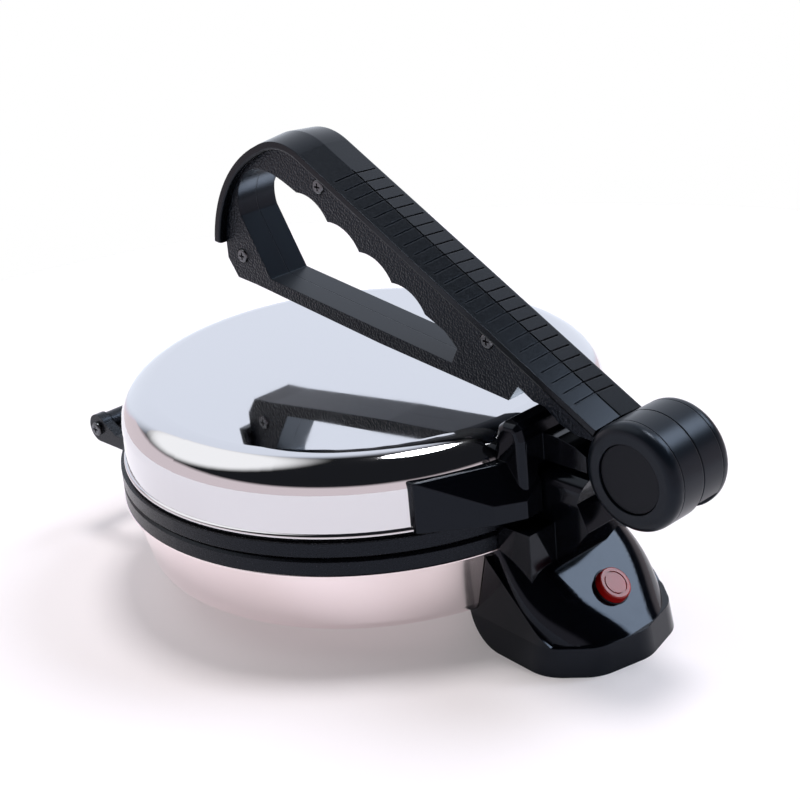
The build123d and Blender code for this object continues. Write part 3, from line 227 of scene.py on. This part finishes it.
# ---- which piece gets which look ----
# By the slots of the record. The lamp's ring is a black moulding, though its slot says chrome.
slot_looks = {
    "polished_steel": buffed_stainless("buffed_stainless_sheet", "#CDCDD0", roughness=0.03, haze=0.04),
    "drawn_steel": plain_metal("drawn_steel_sheet", "#B9B8B6", roughness=0.35, grain_mm=1.5),
    "plate_alloy": nonstick("nonstick_aluminium", "#232325", "#5A5A5C", roughness=0.42),
    "element_steel": plain_metal("heat_tinted_steel", "#6E665E", roughness=0.4, grain_mm=1.0),
    "gloss_black": gloss_moulding("gloss_phenolic", "#05060A", roughness=0.08),
    "ring_black": satin_moulding("satin_phenolic", "#08090D", roughness=0.28, grit_mm=0.8, depth_mm=0.02),
    "grain_black": pebbled_moulding("pebbled_phenolic", "#0B1016", roughness=0.3),
    "foot_rubber": satin_moulding("moulded_rubber", "#141414", roughness=0.65, grit_mm=0.6, depth_mm=0.03),
    "screw_steel": plain_metal("zinc_plated_screw", "#5E6064", roughness=0.22, grain_mm=0.6),
    "lamp_red": red_acrylic("clear_red_acrylic", "#8C0A0A", roughness=0.2),
    "bezel_chrome": gloss_moulding("lamp_bezel_phenolic", "#0C0606", roughness=0.2),
    "thermostat_body": satin_moulding(
        "steatite_ceramic", "#CFC8B8", roughness=0.5, grit_mm=0.6, depth_mm=0.02
    ),
    "spring_wire": plain_metal("spring_steel_wire", "#8A8985", roughness=0.3, grain_mm=0.5),
}
# The cap is smoother than the rings, the plugs are duller, and the bowl is buffed less than the lid; the
# bowl's paler, pinkish colour is a painted reflection, brighter than the lid's same steel.
plug_look = satin_moulding("matt_plug_phenolic", "#08080B", roughness=0.45, grit_mm=0.5, depth_mm=0.02)
own_looks = {
    "grip_cap": satin_moulding(
        "moulded_cap_phenolic", "#06080B", roughness=0.17, grit_mm=0.5, depth_mm=0.006
    ),
    # The bowl is the lid's steel with a painted brighter, pinkish reflection in its base colour.
    "base_shell": buffed_stainless("stainless_bowl_painted_bright", "#F2E6E8", roughness=0.1, haze=0.06),
    "hub_plug_right": plug_look,
    "hub_plug_left": plug_look,
}
slots = {entry["node"]: entry["material_slot"] for entry in frame["record"]["subparts"]}
for name, node in frame["nodes"].items():
    node.data.materials.clear()
    node.data.materials.append(own_looks.get(name, slot_looks[slots[name]]))

# ---- camera ----
CAMERA_SPOT = (0.535475, 0.582103, 0.424981)
CAMERA_RIGHT = Vector((-0.711779, 0.697385, -0.083815))
CAMERA_UP = Vector((-0.329038, -0.225625, 0.916966))
LENS_MM = 79.807
SENSOR_MM = 36

camera = bpy.data.objects.new("camera", bpy.data.cameras.new("camera"))
bpy.context.scene.collection.objects.link(camera)
camera_back = CAMERA_RIGHT.cross(CAMERA_UP).normalized()
turn = Matrix((CAMERA_RIGHT, CAMERA_UP, camera_back)).transposed().to_4x4()
camera.matrix_world = Matrix.Translation(CAMERA_SPOT) @ turn
camera.data.sensor_width = SENSOR_MM
camera.data.lens = LENS_MM
camera.data.clip_start = 0.02
bpy.context.scene.camera = camera

# ---- lamp, sky and floor ----
# One broad light from above, a little to the left, through a wide diffuser.
OVERHEAD_FROM = Vector((-0.24, 0.02, 1.0))
OVERHEAD_ENERGY = 1.66
OVERHEAD_WIDTH = 17  # degrees

diffuser = bpy.data.lights.new("overhead_light", "SUN")
diffuser.energy = OVERHEAD_ENERGY
diffuser.angle = math.radians(OVERHEAD_WIDTH)
overhead_light = bpy.data.objects.new("overhead_light", diffuser)
bpy.context.scene.collection.objects.link(overhead_light)
overhead_light.rotation_euler = OVERHEAD_FROM.to_track_quat("Z", "Y").to_euler()

# What the mirrors of the lid and the gloss of the leg see all round: a dark room over a pale floor, with
# three soft panels. Each has a direction, where it is full and where it is gone in degrees, its colour
# and its level.
ROOM = ("#E6ECFF", 0.02)
PALE_FLOOR = ("#FFF0F4", 0.95)
FLOOR_FADES = (0.2, 0.31)  # the floor and low walls fade between these heights of a direction
TALL_SCREEN = ((-0.60, -0.70, 0.38), 33, 52, "#EDF3FF", 1.22)  # front left
SOFT_BOX = ((0.30, -0.62, 0.72), 20, 34, "#FFFFFF", 1.4)  # front right
WINDOW = ((-0.62, 0.30, 0.73), 11, 16, "#DDE9F7", 12)  # behind left

sky = bpy.data.worlds.new("studio")
bpy.context.scene.world = sky
sky.use_nodes = True
sky_tree = sky.node_tree
direction = add_node(sky_tree, "ShaderNodeTexCoord").outputs["Generated"]


def shine(colour, level):
    """A colour at a light level as a vector, where the level is a number or a socket."""
    made = add_node(sky_tree, "ShaderNodeVectorMath", {"operation": "SCALE"})
    made.inputs[0].default_value = linear(colour)[:3]
    if isinstance(level, (int, float)):
        made.inputs["Scale"].default_value = level
    else:
        sky_tree.links.new(level, made.inputs["Scale"])
    return made.outputs["Vector"]


def panel(towards, full, gone, colour, level):
    """A round soft panel of light in a direction, full within some degrees and gone at more."""
    facing = add_node(sky_tree, "ShaderNodeVectorMath", {"operation": "DOT_PRODUCT"}, {0: direction})
    facing.inputs[1].default_value = Vector(towards).normalized()
    fade = add_node(
        sky_tree,
        "ShaderNodeMapRange",
        {
            "interpolation_type": "SMOOTHSTEP",
            "From Min": math.cos(math.radians(gone)),
            "From Max": math.cos(math.radians(full)),
        },
        {"Value": facing.outputs["Value"]},
    ).outputs["Result"]
    return shine(colour, math_node(sky_tree, "MULTIPLY", fade, level))


def brighter(first, second):
    """The brighter of two lights in every direction."""
    made = add_node(sky_tree, "ShaderNodeVectorMath", {"operation": "MAXIMUM"}, {0: first, 1: second})
    return made.outputs["Vector"]


height = add_node(sky_tree, "ShaderNodeSeparateXYZ", links={"Vector": direction}).outputs["Z"]
floor_colour, floor_level = PALE_FLOOR
floor_share = spread(sky_tree, height, 1.0, 0.0, *FLOOR_FADES)
lights = shine(*ROOM)
lights = brighter(lights, shine(floor_colour, math_node(sky_tree, "MULTIPLY", floor_share, floor_level)))
for light in (TALL_SCREEN, SOFT_BOX, WINDOW):
    lights = brighter(lights, panel(*light))

ray = add_node(sky_tree, "ShaderNodeLightPath").outputs["Is Camera Ray"]
seen = add_node(sky_tree, "ShaderNodeMix", {"data_type": "RGBA"}, {"Factor": ray, MIX_FIRST: lights})
seen.inputs[MIX_SECOND].default_value = WHITE
sky_tree.links.new(seen.outputs[MIX_RESULT], sky_tree.nodes["Background"].inputs["Color"])

# Matt pale sweep under the object. A little light of its own, seen straight and in the metal, whitens it
# and keeps the shadow.
FLOOR_R = 0.6
FLOOR_SIDES = 96
GLOW_SEEN = 0.19
GLOW_MIRRORED = 0.25

bed = bmesh.new()
bmesh.ops.create_circle(bed, cap_ends=True, segments=FLOOR_SIDES, radius=FLOOR_R)
floor_mesh = bpy.data.meshes.new("floor")
bed.to_mesh(floor_mesh)
bed.free()
floor = bpy.data.objects.new("floor", floor_mesh)
bpy.context.scene.collection.objects.link(floor)
floor_look, floor_tree, floor_shader, _ = new_material("matt_pale_sweep", "#DDD5D7", {"Roughness": 0.8})
ray = add_node(floor_tree, "ShaderNodeLightPath")
straight = math_node(floor_tree, "MULTIPLY", ray.outputs["Is Camera Ray"], GLOW_SEEN)
mirrored = math_node(floor_tree, "MULTIPLY", ray.outputs["Is Glossy Ray"], GLOW_MIRRORED)
glow = math_node(floor_tree, "ADD", straight, mirrored)
floor_tree.links.new(glow, floor_shader.inputs["Emission Strength"])
floor_shader.inputs["Emission Color"].default_value = WHITE
floor.data.materials.append(floor_look)

bpy.context.scene.view_settings.view_transform = "Standard"
